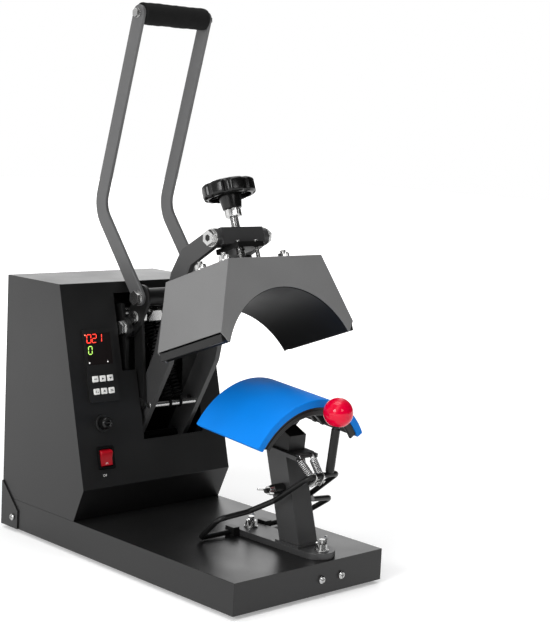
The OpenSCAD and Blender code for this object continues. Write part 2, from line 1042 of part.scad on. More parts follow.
module heater_bracket() {
    color("#2a2a2a")
        heater_frame()
            difference() {
                union() {
                    translate([-60, -34, bracket_up])
                        cube([120, 68, bracket_t]);
                    translate([0, 0, bracket_up + bracket_t])
                        cylinder(d = 26, h = 10);
                }
                translate([0, 0, bracket_up + 3])
                    cylinder(d = 12 + run_fit, h = 20);
                for (x = [-15, 15], y = [-15, 15])
                    translate([x, y, bracket_up - 1])
                        cylinder(d = 6, h = 10);
            }
}

// The four long studs that guide the heater, and the four nuts that hold the plate down
module guide_studs() {
    color("silver")
        heater_frame() {
            for (x = [-15, 15], y = [-15, 15])
                translate([x, y, bracket_up])
                    cylinder(d = 6, h = crossbar_up - 8 - bracket_up);
            for (x = [-51, 51], y = [-24, 24])
                translate([x, y, bracket_up + bracket_t]) {
                    hex_part(13, 6, 16);
                    cylinder(d = 8, h = 11);
                }
        }
}

// The hand knob: eight lobes round a hollow rim, a low crown on top and a collar below
module pressure_knob() {
    color("black")
        heater_frame()
            translate([0, 0, knob_up])
                difference() {
                    union() {
                        cylinder(d = knob_d, h = 20, center = true);
                        translate([0, 0, 10])
                            cylinder(d1 = 50, d2 = 36, h = 4);
                        translate([0, 0, -26])
                            cylinder(d1 = 24, d2 = 30, h = 17);
                    }
                    for (i = [0 : 7])
                        rotate(i * 45)
                            translate([knob_d / 2 + 2, 0, -15])
                                cylinder(d = 10, h = 30);
                    difference() {
                        translate([0, 0, -11])
                            cylinder(r = knob_d / 2 - 7, h = 13);
                        translate([0, 0, -12])
                            cylinder(d = 30, h = 15);
                    }
                    translate([0, 0, -27])
                        cylinder(d = 12, h = 30);
                }
}

module pressure_screw() {
    color("silver")
        heater_frame() {
            translate([0, 0, bracket_up + 3])
                cylinder(d = 12, h = knob_up + 3 - bracket_up - 3);
            translate([0, 0, knob_up - 36])
                linear_extrude(10)
                    difference() {
                        hexagon(19);
                        circle(d = 12);
                    }
        }
}

module handle_bar(x0) {
    press()
        difference() {
            side_slab(x0, bar_layer[1] - bar_layer[0])
                polygon(bent_bar([grip_at, handle_bend, bar_bolt], bar_w, bend_r));
            cross_rod(grip_at, 8, -80, 80);
            cross_rod(bar_bolt, 10, -80, 80);
        }
}

module handle_bar_left() {
    color("#55565a")
        handle_bar(-bar_layer[1]);
}

module handle_bar_right() {
    color("#55565a")
        handle_bar(bar_layer[0]);
}

module crank_outline() {
    hull() {
        translate(bar_bolt)
            circle(17);
        translate(link_top)
            circle(14);
    }
    hull() {
        translate(link_top)
            circle(14);
        translate(handle_pivot)
            circle(13);
    }
}

module crank_plates() {
    color("#2c2c2e")
        press()
            difference() {
                union() {
                    both_sides(crank_layer)
                        crank_outline();
                    cross_rod(bar_bolt, 24, -crank_layer[0] - 1, crank_layer[0] + 1);
                }
                cross_rod(handle_pivot, 12 + run_fit, -80, 80);
                cross_rod(link_top, 10, -80, 80);
                cross_rod(bar_bolt, 10, -80, 80);
            }
}

module handle_grip() {
    color("black")
        press()
            difference() {
                cross_rod(grip_at, grip_d, -bar_layer[0] + 0.5, bar_layer[0] - 0.5);
                cross_rod(grip_at, 20, -80, 80);
            }
}

// The grip tube with its end bolts, the bar bolts and the link bolts
module handle_bolts() {
    color("silver")
        press() {
            cross_rod(grip_at, 20, -bar_layer[0], bar_layer[0]);
            for (side = [-1, 1]) {
                at_yz(grip_at)
                    translate([side * bar_layer[0], 0, 0])
                        along_x(side) {
                            cylinder(d = 8, h = 5);
                            translate([0, 0, 5])
                                hex_part(10, 4, 13);
                        }
                at_yz(bar_bolt)
                    translate([side * crank_layer[0], 0, 0])
                        along_x(side) {
                            cylinder(d = 10, h = 9.5);
                            translate([0, 0, 9.5])
                                hex_part(17, 6, 20);
                        }
                at_yz(link_top)
                    translate([side * 42, 0, 0])
                        along_x(side) {
                            translate([0, 0, -3])
                                linear_extrude(5.7)
                                    hexagon(14);
                            cylinder(d = 10, h = crank_layer[1] - 42);
                            translate([0, 0, crank_layer[1] - 42])
                                hex_part(14, 4, 18);
                        }
            }
        }
}

// The links, each with the flat head of its lower rivet: the pivot there stays open
module link_bars() {
    color("#4a4a4c")
        press() {
            difference() {
                both_sides([link_layer[0] + 0.1, link_layer[1] - 0.3])
                    stroke([link_top, link_low], 18);
                cross_rod(link_top, 10 + run_fit, -80, 80);
            }
            for (side = [-1, 1])
                at_yz(link_low)
                    translate([side * (link_layer[1] - 0.3), 0, 0])
                        along_x(side)
                            cylinder(d = 14, h = 2.2);
        }
}

module bail_plane() {
    press()
        at_yz(bail_hinge)
            rotate([-bail_slope, 0, 0])
                children();
}

module lever_ball() {
    color("crimson")
        lever_foot()
            translate([0, 0, lever_len + ball_d / 2 - 3])
                difference() {
                    sphere(d = ball_d);
                    translate([0, 0, -ball_d])
                        cylinder(d = lever_d, h = ball_d - 8);
                    translate([-ball_d, -ball_d, -1.5 * ball_d + 3])
                        cube([2 * ball_d, 2 * ball_d, ball_d]);
                }
}

module cap_bail() {
    color("#202020")
        bail_plane()
            translate(bail_path[0])
                rotate(180)
                    bent_wire(bail_path, bail_d, bail_bend);
}

// The foot of the lever, on the front run of the bail, with +Z up the lever
module lever_foot() {
    press()
        translate([lever_side, bail_front[0], bail_front[1]])
            rotate([lever_lean, 0, 0])
                children();
}

module bail_lever() {
    color("#202020")
        lever_foot()
            difference() {
                cylinder(d = lever_d, h = lever_len);
                rotate([-lever_lean, 0, 0])
                    rotate([0, 90, 0])
                        cylinder(d = bail_d + run_fit, h = 40, center = true);
            }
}

// The bolt behind the front run of the bail that its springs hook on, and its two clips
module bail_bolt() {
    color("silver")
        press() {
            cross_rod(bail_spring_low, bail_pin_d, -17, 7);
            for (x = [-17, -3.9])
                side_slab(x, 1.8)
                    difference() {
                        stroke([bail_front, bail_spring_low], 10);
                        translate(bail_front)
                            circle(d = bail_d + run_fit);
                        translate(bail_spring_low)
                            circle(d = bail_pin_d);
                    }
        }
}

module bail_springs() {
    color("silver")
        press()
            for (x = [[-9.5, -13.5], [3.5, 10]])
                tension_spring([x[0], bail_spring_low[0], bail_spring_low[1]],
                               [x[1], bail_spring_top[0], bail_spring_top[1]], bail_pin_d, 12, 4.2, 1.6);
}

translate([outline_x, 0, 0]) {
    base_tray();
    bottom_plate();
    rubber_feet();
    housing_shell();
    back_cover();
    case_screws();
    frame_plates();
    frame_tie_rods();
    pivot_shaft();
    handle_pivot_bolts();
    foot_bar();
    foot_studs();
    hinge_lugs();
    post();
    post_clamp_boss();
    platen_bracket();
    platen_plate();
    platen_pad();
    front_wing_nut();
    rear_wing_nut();
    post_wing_nut();
    controller_case();
    display_window();
    key(0);  // key_1
    key(1);  // key_2
    key(2);  // key_3
    key(3);  // key_4
    key(4);  // key_5
    key(5);  // key_6
    fuse_holder();
    fuse_cap();
    switch_bezel();
    switch_rocker();
    power_inlet();
    solid_state_relay();
    return_springs();
    arm_plate_left();
    arm_plate_right();
    arm_crossbar();
    arm_bolts();
    guide_block();
    heater_shroud();
    heater_arch();
    heater_insulation();
    heater_rails();
    heater_bracket();
    guide_studs();
    pressure_knob();
    pressure_screw();
    handle_bar_left();
    handle_bar_right();
    crank_plates();
    handle_grip();
    handle_bolts();
    link_bars();
    cap_bail();
    bail_lever();
    lever_ball();
    bail_bolt();
    bail_springs();
}
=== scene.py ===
import json
import math
import bmesh
import bpy
import numpy as np
from mathutils import Matrix, Vector

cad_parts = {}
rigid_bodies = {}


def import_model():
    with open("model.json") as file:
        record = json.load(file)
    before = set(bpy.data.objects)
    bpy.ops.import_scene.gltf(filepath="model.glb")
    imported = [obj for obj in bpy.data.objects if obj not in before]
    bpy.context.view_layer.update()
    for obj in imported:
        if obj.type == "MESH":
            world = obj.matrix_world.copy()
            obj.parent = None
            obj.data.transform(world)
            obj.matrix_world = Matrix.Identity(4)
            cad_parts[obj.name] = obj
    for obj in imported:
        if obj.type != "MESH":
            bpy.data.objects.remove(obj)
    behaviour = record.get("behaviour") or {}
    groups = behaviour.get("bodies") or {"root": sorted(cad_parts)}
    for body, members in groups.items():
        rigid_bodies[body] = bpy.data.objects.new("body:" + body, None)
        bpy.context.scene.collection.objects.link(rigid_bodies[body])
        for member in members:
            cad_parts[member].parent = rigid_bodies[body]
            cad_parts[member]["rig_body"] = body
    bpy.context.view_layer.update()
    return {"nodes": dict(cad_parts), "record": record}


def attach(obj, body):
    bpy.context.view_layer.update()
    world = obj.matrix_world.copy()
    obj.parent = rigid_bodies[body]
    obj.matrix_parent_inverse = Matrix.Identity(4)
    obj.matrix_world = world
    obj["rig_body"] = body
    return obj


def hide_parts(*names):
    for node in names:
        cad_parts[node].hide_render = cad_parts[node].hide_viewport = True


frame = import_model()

nodes = frame["nodes"]
mm = 0.001
print("frame loaded:", len(nodes), "nodes")


class Wire:  # a socket that can be used in sums: an expression on wires adds its Math nodes
    def __init__(self, graph, out):
        self.graph = graph
        self.out = out

    def math(self, operation, first, second):
        return self.graph.node("ShaderNodeMath", {"operation": operation}, {0: first, 1: second})

    def __add__(self, other):
        return self.math("ADD", self, other)

    __radd__ = __add__

    def __sub__(self, other):
        return self.math("SUBTRACT", self, other)

    def __rsub__(self, other):
        return self.math("SUBTRACT", other, self)

    def __mul__(self, other):
        return self.math("MULTIPLY", self, other)

    __rmul__ = __mul__

    def __truediv__(self, other):
        return self.math("DIVIDE", self, other)

    def __rtruediv__(self, other):
        return self.math("DIVIDE", other, self)

    def least(self, other):
        return self.math("MINIMUM", self, other)

    def most(self, other):
        return self.math("MAXIMUM", self, other)


class Graph:  # a node tree, with its nodes made and joined in one call each
    def __init__(self, tree):
        self.tree = tree

    def node(self, kind, settings=None, values=None, out=0):
        made = self.tree.nodes.new(kind)
        for key, value in (settings or {}).items():
            if key == "stops":  # a ramp's stops, as (place, colour)
                ramp = made.color_ramp
                while len(ramp.elements) < len(value):
                    ramp.elements.new(0.5)
                for element, (place, tint) in zip(ramp.elements, value):
                    element.position = place
                    element.color = tint
            else:
                setattr(made, key, value)
        for key, value in (values or {}).items():
            self.join(value, made.inputs[key])
        return Wire(self, made.outputs[out])

    def join(self, value, target):
        if isinstance(value, Wire):
            self.tree.links.new(value.out, target)
        elif target.type == "RGBA" and len(value) == 3:
            target.default_value = (*value, 1.0)
        else:
            target.default_value = value


class Paint(Graph):  # one material, and the shader that its wires end in
    def __init__(self, name, colour, rough, **fixed):
        self.material = bpy.data.materials.new(name)
        self.material.use_nodes = True
        super().__init__(self.material.node_tree)
        self.shader = self.tree.nodes["Principled BSDF"]
        self.set("Base Color", colour)
        self.set("Roughness", rough)
        for socket, value in fixed.items():
            self.set(socket, value)

    def set(self, socket, value):
        self.join(value, self.shader.inputs[socket])

    def place(self):  # the shared frame's own coordinates, in metres
        return self.node("ShaderNodeTexCoord", out="Object")

    def noise(self, size, detail=3.0, stretch=(1, 1, 1)):
        spot = self.node("ShaderNodeMapping", {}, {"Vector": self.place(), "Scale": stretch})
        return self.node("ShaderNodeTexNoise", {}, {"Vector": spot, "Scale": 1 / size, "Detail": detail,
                                                    "Roughness": 0.55})

    def cells(self, size):
        return self.node("ShaderNodeTexVoronoi", {}, {"Vector": self.place(), "Scale": 1 / size})

    def blend(self, share, first, second):  # a mix of two colours
        return self.node("ShaderNodeMix", {"data_type": "RGBA"}, {0: share, 6: first, 7: second}, 2)

    def bump(self, height, depth, strength):
        self.set("Normal", self.node("ShaderNodeBump", {}, {"Height": height, "Distance": depth,
                                                            "Strength": strength}))


# Finishes: grain sizes and depths in mm, patches and streaks as noise of their own size

def shade(colour, factor):
    return tuple(min(c * factor, 1.0) for c in colour)


def coatedSteel(name, colour, rough, grain=0.9, depth=0.05, shine=0.5):  # powder coat: fine grain, faint patches
    paint = Paint(name, colour, rough, **{"Specular IOR Level": shine})
    patches = paint.noise(60 * mm, 4.0)
    speck = paint.noise(grain * mm, 2.0)
    light = tuple(c * 1.22 + 0.004 for c in colour)
    paint.set("Base Color", paint.blend(0.55 * patches + 0.45 * speck, shade(colour, 0.84), light))
    paint.set("Roughness", rough - 0.07 + 0.14 * patches)
    paint.bump(speck, depth * mm, 0.6)
    return paint.material


def plainMetal(name, colour, rough):  # zinc plate or turned steel
    paint = Paint(name, colour, rough, Metallic=1.0)
    streak = paint.noise(3.0 * mm)
    cloud = paint.noise(9 * mm)
    paint.set("Base Color", paint.blend(cloud, shade(colour, 0.72), colour))
    paint.set("Roughness", rough - 0.06 + 0.12 * streak)
    paint.bump(streak, 0.015 * mm, 0.25)
    return paint.material


def mouldedPlastic(name, colour, rough, grain=1.2, depth=0.02, **fixed):
    paint = Paint(name, colour, rough, **fixed)
    texture = paint.noise(grain * mm, 2.0)
    cloud = paint.noise(25 * mm)
    paint.set("Base Color", paint.blend(cloud, shade(colour, 0.9), shade(colour, 1.1)))
    paint.set("Roughness", rough - 0.05 + 0.1 * cloud)
    paint.bump(texture, depth * mm, 0.5)
    return paint.material


def foamRubber(name, colour):  # closed cells: a pitted skin
    paint = Paint(name, colour, 0.9, **{"Specular IOR Level": 0.2})
    cell = paint.cells(1.3 * mm)
    cloud = paint.noise(14 * mm)
    paint.set("Base Color", paint.blend(cloud, shade(colour, 0.6), shade(colour, 1.5)))
    paint.bump(cell, 0.25 * mm, 0.7)
    return paint.material


def siliconePad(name, colour):  # matt skin with a fine cloth print and soft wear
    paint = Paint(name, colour, 0.55, **{"Specular IOR Level": 0.12})
    weave = paint.noise(0.8 * mm, 2.0)
    cloud = paint.noise(40 * mm, 4.0)
    paint.set("Base Color", paint.blend(0.7 * cloud + 0.3 * weave, shade(colour, 0.86), shade(colour, 1.1)))
    paint.set("Roughness", 0.5 + 0.14 * cloud)
    paint.bump(weave, 0.06 * mm, 0.6)
    return paint.material


def ceramicWool(name, colour):
    paint = Paint(name, colour, 0.95)
    fibre = paint.noise(2.5 * mm, 6.0, (1, 1, 3))
    paint.set("Base Color", paint.blend(fibre, shade(colour, 0.75), colour))
    paint.bump(fibre, 0.8 * mm, 0.8)
    return paint.material


def lampGlow(name, colour, strength):  # lit segments and lamps
    paint = Paint(name, colour, 0.4, **{"Emission Color": colour, "Emission Strength": strength})
    flicker = paint.noise(1.5 * mm, 1.0)
    paint.set("Emission Color", paint.blend(flicker, shade(colour, 0.85), colour))
    return paint.material


def darkWindow(name, colour):  # tinted plastic with a little haze
    paint = Paint(name, colour, 0.35, **{"Specular IOR Level": 0.3})
    haze = paint.noise(8 * mm)
    paint.set("Roughness", 0.3 + 0.12 * haze)
    return paint.material


finishes = {
    "painted_shell": coatedSteel("charcoal_coat", (0.0055, 0.0055, 0.0056), 0.35, shine=0.4),
    "bare_plate": coatedSteel("plain_sheet", (0.05, 0.05, 0.05), 0.5),
    "painted_frame": coatedSteel("frame_coat", (0.031, 0.031, 0.0315), 0.4),
    "painted_bars": coatedSteel("bar_coat", (0.075, 0.075, 0.076), 0.42),
    "shroud": coatedSteel("shroud_coat", (0.14, 0.14, 0.14), 0.42),
    "black_metal": coatedSteel("satin_black", (0.004, 0.004, 0.004), 0.36, 0.6, 0.03, 0.26),
    "arch": coatedSteel("nonstick_coat", (0.003, 0.003, 0.003), 0.42, 0.5, 0.02, 0.22),
    "zinc": plainMetal("zinc_plate", (0.56, 0.56, 0.555), 0.24),
    "rubber": foamRubber("rubber_foot", (0.008, 0.008, 0.008)),
    "foam": foamRubber("foam_grip", (0.004, 0.004, 0.004)),
    "black_plastic": mouldedPlastic("black_gloss", (0.003, 0.003, 0.003), 0.24, **{"Specular IOR Level": 0.32}),
    "controller_plastic": mouldedPlastic("black_spark", (0.004, 0.004, 0.004), 0.42, 0.5, 0.04),
    "key_grey": mouldedPlastic("key_white", (0.72, 0.72, 0.7), 0.45),
    "relay_white": mouldedPlastic("relay_body", (0.8, 0.8, 0.76), 0.4),
    "rocker_red": mouldedPlastic("rocker_red", (0.36, 0.001, 0.008), 0.3, **{"Specular IOR Level": 0.3}),
    "ball_red": mouldedPlastic("ball_red", (0.62, 0.0, 0.028), 0.12, 3.0, 0.004, **{"Specular IOR Level": 0.28}),
    "pad_blue": siliconePad("pad_blue", (0.0, 0.185, 0.66)),
    "wool": ceramicWool("ceramic_wool", (0.8, 0.79, 0.74)),
    "display": darkWindow("dark_window", (0.006, 0.004, 0.004)),
    # dark steel for the springs and rods inside the press, darkened further as painted shade for the shadow they sit
    # in
    "dark_steel": plainMetal("dark_steel_shaded", (0.01, 0.01, 0.01), 0.6),
    "springWire": plainMetal("spring_wire", (0.55, 0.55, 0.55), 0.22),
    # near-black pieces laid over the mouths of recesses: painted shade for the inside of a socket or slot
    "recessShade": mouldedPlastic("painted_recess_shade", (0.004, 0.004, 0.004), 0.7),
    "digitRed": lampGlow("digit_red", (1.0, 0.05, 0.03), 1.6),
    "digitGreen": lampGlow("digit_green", (0.5, 0.9, 0.15), 0.9),
    "lampRed": lampGlow("lamp_red", (1.0, 0.2, 0.12), 1.3),
    "lampWhite": lampGlow("lamp_white", (0.8, 0.8, 0.78), 0.4),
    "printDark": mouldedPlastic("print_dark", (0.03, 0.03, 0.03), 0.5),
    "printLight": mouldedPlastic("print_light", (0.75, 0.75, 0.73), 0.5),
}
slotOf = {part["node"]: part["material_slot"] for part in frame["record"]["subparts"]}
for name, node in nodes.items():
    node.data.materials.clear()
    node.data.materials.append(finishes[slotOf[name]])
print("finishes:", len(finishes))

# Mesh helpers

weld = 0.001  # mm: points of a new piece that are nearer than this become one
edging = {"merge": 0.002, "flat": 0.4, "angle": 35, "smooth": 25, "weight": 90}  # mm, degrees and a share


def bodyOf(node):
    return nodes[node]["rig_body"]


def reshaped(name, mesh, change):  # a new object of the mesh after a change to its bmesh
    work = bmesh.new()
    work.from_mesh(mesh)
    change(work)
    work.to_mesh(mesh)
    work.free()
    piece = bpy.data.objects.new(name, mesh)
    bpy.context.scene.collection.objects.link(piece)
    return piece


def finishPiece(piece, slot, body, smooth):
    piece.data.polygons.foreach_set("use_smooth", np.ones(len(piece.data.polygons), bool))
    piece.data.set_sharp_from_angle(angle=math.radians(smooth))
    piece.data.materials.clear()
    piece.data.materials.append(finishes[slot])
    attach(piece, body)


# A mesh piece that rides the body of a CAD node, and stands for the node where it replaces it; the part
# is (points, faces), in mm
def newPiece(name, part, slot, node, smooth=30, replaces=False):
    def change(work):
        bmesh.ops.remove_doubles(work, verts=work.verts, dist=weld * mm)
        bmesh.ops.recalc_face_normals(work, faces=work.faces)

    points, faces = part
    mesh = bpy.data.meshes.new(name)
    mesh.from_pydata((np.asarray(points, float) * mm).tolist(), [], [list(f) for f in faces])
    piece = reshaped(name, mesh, change)
    finishPiece(piece, slot, bodyOf(node), smooth)
    if replaces:
        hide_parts(node)
    return piece


def applyModifiers(piece):
    depsgraph = bpy.context.evaluated_depsgraph_get()
    made = bpy.data.meshes.new_from_object(piece.evaluated_get(depsgraph))
    piece.modifiers.clear()
    piece.data = made


def softened(node, width, steps):  # the node's own shape with its edges rounded over
    def change(work):
        bmesh.ops.remove_doubles(work, verts=work.verts, dist=edging["merge"] * mm)
        bmesh.ops.dissolve_limit(work, angle_limit=math.radians(edging["flat"]), verts=work.verts, edges=work.edges)

    mesh = nodes[node].data.copy()
    mesh.name = node + "_soft"
    piece = reshaped(node + "_soft", mesh, change)
    if width:
        bevel = piece.modifiers.new("edge", "BEVEL")
        bevel.width = width * mm
        bevel.segments = steps
        bevel.limit_method = "ANGLE"
        bevel.angle_limit = math.radians(edging["angle"])
        applyModifiers(piece)
    finishPiece(piece, slotOf[node], bodyOf(node), edging["smooth"])
    even = piece.modifiers.new("even", "WEIGHTED_NORMAL")  # the broad flats stay flat in the light
    even.weight = edging["weight"]
    even.keep_sharp = True
    applyModifiers(piece)
    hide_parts(node)


# Places: an origin in mm and three axes, with points carried from it as whole arrays

pressX = 25.44  # the press's middle, in the shared frame
trayX = -9.56  # the tray's middle
slope = {"top": (122, 351), "sine": 0.245157, "cosine": 0.969483}  # the housing's front, in YZ from its top edge


def frameAt(origin, x, y, z):
    return np.array(origin, float), np.array([x, y, z], float)


def carried(points, place):
    origin, axes = place
    return origin + np.asarray(points, float) @ axes


def leaning(origin, degrees):  # a frame turned about X: its Z leans forward by that angle
    c, s = math.cos(math.radians(degrees)), math.sin(math.radians(degrees))
    return frameAt(origin, (1, 0, 0), (0, c, s), (0, -s, c))


def onSlope(x, down):  # X to the right, Y up the slope, Z outward; down is the distance from the top edge
    (y, z), s, c = slope["top"], slope["sine"], slope["cosine"]
    return frameAt((x + trayX, y - down * s, z - down * c), (1, 0, 0), (0, s, c), (0, -c, s))


def alongX(x, y, z, side):  # Z points to the side
    return frameAt((pressX + x, y, z), (0, 0, -side), (0, 1, 0), (side, 0, 0))


heaterPlace = leaning((pressX, -108.147, 242.265), -20)  # the axes of the two arches
platenPlace = leaning((pressX, -133.09, 138.23), 5)


def gridFaces(rows, columns):  # quads of a grid of points, closed round its columns
    low = np.arange(rows - 1)[:, None] * columns
    here, there = np.arange(columns)[None, :], (np.arange(columns)[None, :] + 1) % columns
    return np.stack([low + here, low + there, low + columns + there, low + columns + here], -1).reshape(-1, 4).tolist()


def tubeFaces(rows, columns):  # the same with a face over each end
    first = (rows - 1) * columns
    return gridFaces(rows, columns) + [list(range(columns))[::-1], list(range(first, first + columns))]


# A profile of (radius, height) rows turned round Z: the point at angle a is (r cos a, r sin a, h),
# where shape(a, r, h) may change r by the angle
def lathe(profile, sides, shape=None):
    r, h = (np.array(profile, float)[:, k][:, None] for k in (0, 1))
    a = np.linspace(0, 2 * np.pi, sides, endpoint=False)[None, :]
    r = shape(a, r, h) if shape else r + 0 * a
    return np.stack([r * np.cos(a), r * np.sin(a), h + 0 * a], -1).reshape(-1, 3), gridFaces(len(profile), sides)


# Rows of (radius, height, fillet): each corner becomes a quadratic curve, from its own fillet's
# length before the corner to the same length after it
def rounded(corners, steps=5):
    p = np.array([c[:2] for c in corners], float)
    fillet = np.array([c[2] if len(c) > 2 else 0 for c in corners], float)
    before = np.vstack([p[:1], p[:-1]]) - p
    after = np.vstack([p[1:], p[-1:]]) - p
    unit = [v / np.maximum(np.linalg.norm(v, axis=1, keepdims=True), 1e-9) for v in (before, after)]
    t = np.linspace(0, 1, steps)[None, :, None]
    a, b = (p + u * fillet[:, None] for u in unit)
    curve = (1 - t) ** 2 * a[:, None] + 2 * t * (1 - t) * p[:, None] + t ** 2 * b[:, None]
    return [row for k, c in enumerate(curve) for row in (c if fillet[k] else c[:1])]


# A round wire: at each point of the path a circle of the radius, in the plane square to the path;
# side is a direction that is never in line with the path, one for all points or one each
def alongPath(path, side, radius, sides):
    path = np.asarray(path, float)
    run = np.gradient(path, axis=0)
    run /= np.linalg.norm(run, axis=1, keepdims=True)
    u = side - np.sum(side * run, 1, keepdims=True) * run
    u /= np.linalg.norm(u, axis=1, keepdims=True)
    v = np.cross(run, u)
    a = np.linspace(0, 2 * np.pi, sides, endpoint=False)[None, :, None]
    points = path[:, None] + radius * (np.cos(a) * u[:, None] + np.sin(a) * v[:, None])
    return points.reshape(-1, 3), tubeFaces(len(path), sides)


def joined(parts):  # several (points, faces) made one
    points, faces, start = [], [], 0
    for p, f in parts:
        points.append(np.asarray(p, float))
        faces += [[i + start for i in face] for face in f]
        start += len(p)
    return np.vstack(points), faces


def prism(outline, low, high):  # a flat outline of [x, y] between two heights
    flat = np.asarray(outline, float)
    n = len(flat)
    return np.vstack([np.c_[flat, np.full(n, low)], np.c_[flat, np.full(n, high)]]), tubeFaces(2, n)


def oblong(x0, y0, x1, y1):
    return [(x0, y0), (x1, y0), (x1, y1), (x0, y1)]


def placed(part, place):
    return carried(part[0], place), part[1]


# Camera

cameraFit = {
    "place": (-1.25446, -1.4666, 0.5758),
    "azimuth": -43.5, "elevation": 7.3, "roll": 2.7,
    "sensor": 36, "focal": 1491 / 622,  # the focal length in pixels, over the photograph's height
}


def addCamera(fit):
    a, e, r = (math.radians(fit[key]) for key in ("azimuth", "elevation", "roll"))
    back = Vector((math.sin(a) * math.cos(e), -math.cos(a) * math.cos(e), math.sin(e)))
    level = Vector((0, 0, 1)).cross(back).normalized()
    top = back.cross(level)
    right = math.cos(r) * level + math.sin(r) * top
    up = math.cos(r) * top - math.sin(r) * level
    data = bpy.data.cameras.new("photo_camera")
    data.sensor_width = fit["sensor"]
    data.lens = fit["focal"] * fit["sensor"]
    data.clip_end = 20
    camera = bpy.data.objects.new("photo_camera", data)
    camera.matrix_world = Matrix((
        (right.x, up.x, back.x, fit["place"][0]),
        (right.y, up.y, back.y, fit["place"][1]),
        (right.z, up.z, back.z, fit["place"][2]),
        (0, 0, 0, 1)))
    bpy.context.scene.collection.objects.link(camera)
    bpy.context.scene.camera = camera


addCamera(cameraFit)

# Floor and light

studio = {
    "floorHalf": 9.0,
    "floorColour": (0.8, 0.8, 0.8),
    "floorGlow": (0.27, 1.0, 0.45, 1.9),  # glow near the object and far off, and the radii between which it rises
    "bright": (-0.5, 0.75, 0.43),  # the direction that the room's light is measured from
    "room": (  # light from the far side, at 0, to the bright side, at 1
        (0.0, 0.02), (0.3, 0.03), (0.48, 0.12), (0.56, 0.5), (0.62, 1.9), (0.7, 1.9),
        (0.76, 0.5), (0.84, 0.35), (0.93, 0.6), (1.0, 0.9)),
    "lamps": [  # name, place, aimed at, size, power
        ("key", (-2.7, -0.7, 1.4), (0.0, 0.0, 0.3), 1.0, 40),
        ("top", (-0.2, 0.0, 2.6), (0.0, 0.0, 0.3), 1.4, 20),
        ("front", (-0.6, -2.8, 1.6), (0.0, 0.0, 0.4), 0.8, 13),
    ],
}


# The room's light is a ramp over (1 + direction . bright) / 2, and the camera sees plain white paper
def addWorld(settings):
    world = bpy.data.worlds.new("studio")
    world.use_nodes = True
    sky = Graph(world.node_tree)
    paper = sky.node("ShaderNodeBackground", {}, {"Color": (1, 1, 1)})
    way = sky.node("ShaderNodeTexCoord", out="Generated")
    dot = sky.node("ShaderNodeVectorMath", {"operation": "DOT_PRODUCT"}, {0: way, 1: settings["bright"]}, "Value")
    share = sky.node("ShaderNodeMath", {"operation": "MULTIPLY_ADD"}, {0: dot, 1: 0.5, 2: 0.5})
    stops = [(place, (light, light, light, 1)) for place, light in settings["room"]]
    room = sky.tree.nodes["Background"]
    sky.join(sky.node("ShaderNodeValToRGB", {"stops": stops}, {0: share}), room.inputs["Color"])
    ray = sky.node("ShaderNodeLightPath", out="Is Camera Ray")
    seen = sky.node("ShaderNodeMixShader", {}, {0: ray, 1: Wire(sky, room.outputs[0]), 2: paper})
    sky.join(seen, sky.tree.nodes["World Output"].inputs[0])
    bpy.context.scene.world = world


def addStudio(settings):
    scene = bpy.context.scene
    scene.view_settings.view_transform = "Standard"
    half = settings["floorHalf"]
    mesh = bpy.data.meshes.new("studio_floor")
    mesh.from_pydata([(-half, -half, 0), (half, -half, 0), (half, half, 0), (-half, half, 0)], [], [(0, 1, 2, 3)])
    floor = bpy.data.objects.new("studio_floor", mesh)
    scene.collection.objects.link(floor)
    near, far, inner, outer = settings["floorGlow"]
    paper = Paint("floor_paper", settings["floorColour"], 0.9,
                  **{"Specular IOR Level": 0.0, "Emission Strength": 1.0})
    reach = paper.node("ShaderNodeVectorMath", {"operation": "LENGTH"}, {0: paper.place()}, 1)
    rise = ((reach - inner) / (outer - inner)).least(1.0).most(0.0)
    paper.set("Emission Color", paper.blend(rise, (near, near, near), (far, far, far)))
    floor.data.materials.append(paper.material)
    addWorld(settings)
    for name, place, target, size, power in settings["lamps"]:
        data = bpy.data.lights.new(name, "AREA")
        data.size = size
        data.energy = power
        lamp = bpy.data.objects.new(name, data)
        lamp.location = place
        lamp.rotation_euler = (Vector(target) - Vector(place)).to_track_quat("-Z", "Y").to_euler()
        scene.collection.objects.link(lamp)


addStudio(studio)
print("camera and studio")

# Sheet, plate and cast parts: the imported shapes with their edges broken, each by a width in mm

softEdges = {
    "base_tray": 1.2, "bottom_plate": 0, "housing_shell": 1.2, "back_cover": 0.5, "frame_plates": 0.8,
    "foot_bar": 0.8, "hinge_lugs": 0.8, "post": 1.0, "post_clamp_boss": 0.8, "platen_bracket": 1.4,
    "platen_plate": 0.8, "controller_case": 0.6, "display_window": 0.2, "fuse_holder": 0.6,
    "switch_bezel": 0.5, "switch_rocker": 0.6, "power_inlet": 0.5, "solid_state_relay": 0.8,
    "arm_plate_left": 0.9, "arm_plate_right": 0.9, "arm_crossbar": 0.8, "guide_block": 0.8,
    "heater_shroud": 0.7, "heater_arch": 0.4, "heater_insulation": 0.8, "heater_rails": 0.6,
    "heater_bracket": 0.7, "handle_bar_left": 0.9, "handle_bar_right": 0.9, "crank_plates": 0.7,
    "link_bars": 0.6, "rubber_feet": 1.0, "frame_tie_rods": 0.4, "pivot_shaft": 0.5,
    "key_1": 0.7, "key_2": 0.7, "key_3": 0.7, "key_4": 0.7, "key_5": 0.7, "key_6": 0.7,
    "bail_bolt": 0.3, "front_wing_nut": 0.8, "rear_wing_nut": 0.8, "post_wing_nut": 0.8,
}
crispEdges = {  # bolt heads, whose edges are plain chamfers
    "case_screws": 0.2, "handle_pivot_bolts": 0.35, "arm_bolts": 0.35, "handle_bolts": 0.35,
}
for edges, steps in ((softEdges, 2), (crispEdges, 1)):
    for node, width in edges.items():
        softened(node, width, steps)
print("softened edges:", len(softEdges) + len(crispEdges))

# Wires and springs

